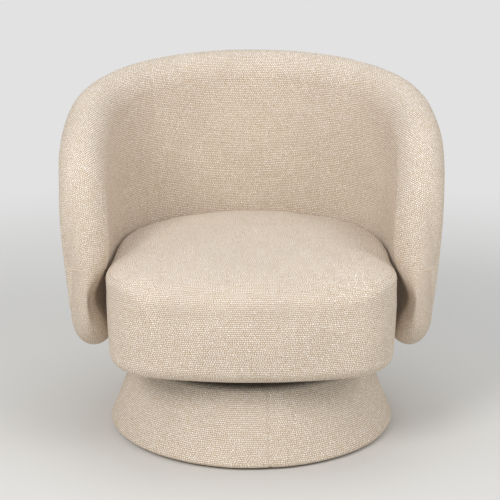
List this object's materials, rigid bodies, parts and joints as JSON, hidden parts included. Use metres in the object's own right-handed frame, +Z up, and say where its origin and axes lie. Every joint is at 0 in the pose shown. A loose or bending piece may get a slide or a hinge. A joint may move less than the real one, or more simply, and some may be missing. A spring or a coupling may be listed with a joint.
{
  "type": "swivel tub chair",
  "caption": "Upholstered swivel tub chair: a soft curved back that runs into the arms, a boxed seat cushion and a round padded plinth it turns on.",
  "frame": {"origin": "on the floor, under the swivel axis", "axes": "+Z up along the swivel axis, -Y the way the seat faces at rest, +X to the right seen from the front"},
  "size_m": [0.7758, 0.703, 0.749],
  "materials": {
    "woven_cover": "matte",
    "plywood": "matte",
    "bent_board": "matte",
    "webbing": "matte",
    "pressed_steel": "satin",
    "slide_plastic": "satin",
    "glide_plastic": "matte"
  },
  "bodies": {
    "plinth": {"plinth_bottom_board": "plywood", "plinth_top_board": "plywood", "plinth_ribs": "plywood", "plinth_upholstery": "woven_cover", "floor_glides": "glide_plastic", "swivel_lower_plate": "pressed_steel", "swivel_slide_ring": "slide_plastic"},
    "seat": {"swivel_upper_plate": "pressed_steel", "seat_platform": "plywood", "seat_posts": "plywood", "seat_front_rail": "plywood", "seat_back_rail": "plywood", "seat_left_rail": "plywood", "seat_right_rail": "plywood", "seat_webbing_long": "webbing", "seat_webbing_cross": "webbing", "seat_cushion": "woven_cover", "back_lower_rail": "plywood", "back_top_rail": "plywood", "back_ribs": "plywood", "back_inner_panel": "bent_board", "back_outer_panel": "bent_board", "back_upholstery": "woven_cover"}
  },
  "joints": [
    {"name": "seat_swivel", "type": "hinge", "parent": "plinth", "child": "seat", "pos_m": [0, 0, 0.1698], "axis": [0, 0, 1], "continuous": true}
  ]
}
